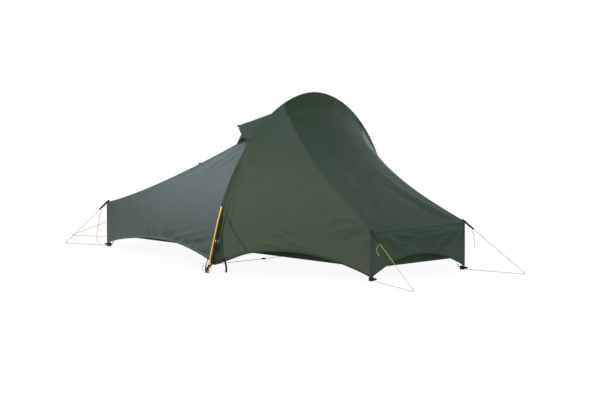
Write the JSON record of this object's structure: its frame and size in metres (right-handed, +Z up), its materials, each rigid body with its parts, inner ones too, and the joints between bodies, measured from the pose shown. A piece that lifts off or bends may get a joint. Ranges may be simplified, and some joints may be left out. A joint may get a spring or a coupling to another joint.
{
  "type": "backpacking tent",
  "caption": "Low single-hoop backpacking tent, pitched: tapered fly with door panel and vent hood, inner tent, corner struts, straps, zip and pegged guylines.",
  "frame": {"origin": "on the ground, midway between the two ends and between the two feet of the hoop", "axes": "+Z up; +X along the sleeper towards the head end, which is wider and nearer the hoop; the door side is -Y"},
  "size_m": [3.5014, 1.5732, 1.0067],
  "materials": {
    "fly": "satin coated nylon",
    "fly_wall": "satin coated nylon, paler",
    "tub_floor": "coated nylon",
    "inner_cloth": "fine woven and netted nylon",
    "webbing": "woven tape",
    "shock_cord": "braided elastic cord",
    "pole_tube": "gold anodised",
    "strut_rod": "pultruded rod",
    "guyline_cord": "braided cord",
    "peg_loop_cord": "braided cord",
    "bright_alloy": "bright alloy",
    "black_plastic": "moulded, matt"
  },
  "bodies": {
    "tent": {"corner_foot_left_far": "black_plastic", "corner_foot_left_near": "black_plastic", "corner_foot_right_far": "black_plastic", "corner_foot_right_near": "black_plastic", "cross_strap": "webbing", "door_strap": "webbing", "door_zip": "black_plastic", "fly_door_near": "fly", "fly_end_left": "fly", "fly_end_right": "fly", "fly_roof_left": "fly", "fly_roof_right": "fly", "fly_wall_far_left": "fly", "fly_wall_far_right": "fly_wall", "fly_wall_near_left": "fly_wall", "guyline_left_far": "guyline_cord", "guyline_left_near": "guyline_cord", "guyline_right_far": "guyline_cord", "guyline_right_near": "guyline_cord", "hem_tail": "webbing", "hem_webbing_far": "webbing", "hem_webbing_near": "webbing", "inner_canopy_left": "inner_cloth", "inner_canopy_right": "inner_cloth", "inner_end_left": "inner_cloth", "inner_end_right": "inner_cloth", "inner_floor": "tub_floor", "line_lock_left_far": "black_plastic", "line_lock_left_near": "black_plastic", "line_lock_right_far": "black_plastic", "line_lock_right_near": "black_plastic", "peg_left_far": "bright_alloy", "peg_left_near": "bright_alloy", "peg_loop_far": "peg_loop_cord", "peg_loop_near": "peg_loop_cord", "peg_right_far": "bright_alloy", "peg_right_near": "bright_alloy", "pole_foot_far": "black_plastic", "pole_foot_near": "black_plastic", "pole_section_1": "pole_tube", "pole_section_2": "pole_tube", "pole_section_3": "pole_tube", "pole_section_4": "pole_tube", "pole_shock_cord": "shock_cord", "pole_sleeve": "fly", "ridge_toggle": "black_plastic", "strut_left_far": "strut_rod", "strut_left_near": "strut_rod", "strut_right_far": "strut_rod", "strut_right_near": "strut_rod", "vent_hood": "fly", "vent_mesh": "inner_cloth"},
    "zip_slider": {"zip_slider": "bright_alloy"},
    "zip_pull": {"zip_pull": "black_plastic"},
    "door_ring": {"door_ring": "bright_alloy"},
    "cross_strap_adjuster": {"cross_strap_adjuster": "black_plastic"},
    "floor_buckle_left_near": {"floor_buckle_left_near": "black_plastic"},
    "floor_buckle_right_near": {"floor_buckle_right_near": "black_plastic"},
    "floor_buckle_right_far": {"floor_buckle_right_far": "black_plastic"},
    "floor_buckle_left_far": {"floor_buckle_left_far": "black_plastic"}
  },
  "joints": [
    {"name": "zip_slide", "type": "hinge", "parent": "tent", "child": "zip_slider", "pos_m": [0.28919, 0.6694, -0.07734], "axis": [-0.997, 0, 0.0778], "range_deg": [0, 16]},
    {"name": "zip_pull_swing", "type": "hinge", "parent": "zip_slider", "child": "zip_pull", "pos_m": [0.30863, -0.73429, 0.14747], "axis": [-0.9729, -0.2039, 0.1088], "range_deg": [0, 85]},
    {"name": "door_ring_swing", "type": "hinge", "parent": "tent", "child": "door_ring", "pos_m": [0.29707, -0.72631, 0.18743], "axis": [-0.9318, -0.3335, 0.1432], "range_deg": [0, 80]},
    {"name": "cross_strap_adjust", "type": "slide", "parent": "tent", "child": "cross_strap_adjuster", "axis": [0, 1, 0], "range_m": [-0.12, 0.12]},
    {"name": "buckle_tilt_left_near", "type": "hinge", "parent": "tent", "child": "floor_buckle_left_near", "pos_m": [-1.16877, -0.26377, 0.0133], "axis": [-0.7071, 0.7071, 0], "range_deg": [0, 40]},
    {"name": "buckle_tilt_right_near", "type": "hinge", "parent": "tent", "child": "floor_buckle_right_near", "pos_m": [1.16877, -0.36877, 0.0133], "axis": [-0.7071, -0.7071, 0], "range_deg": [0, 40]},
    {"name": "buckle_tilt_right_far", "type": "hinge", "parent": "tent", "child": "floor_buckle_right_far", "pos_m": [1.16877, 0.36877, 0.0133], "axis": [0.7071, -0.7071, 0], "range_deg": [0, 40]},
    {"name": "buckle_tilt_left_far", "type": "hinge", "parent": "tent", "child": "floor_buckle_left_far", "pos_m": [-1.16877, 0.26377, 0.0133], "axis": [0.7071, 0.7071, 0], "range_deg": [0, 40]}
  ]
}
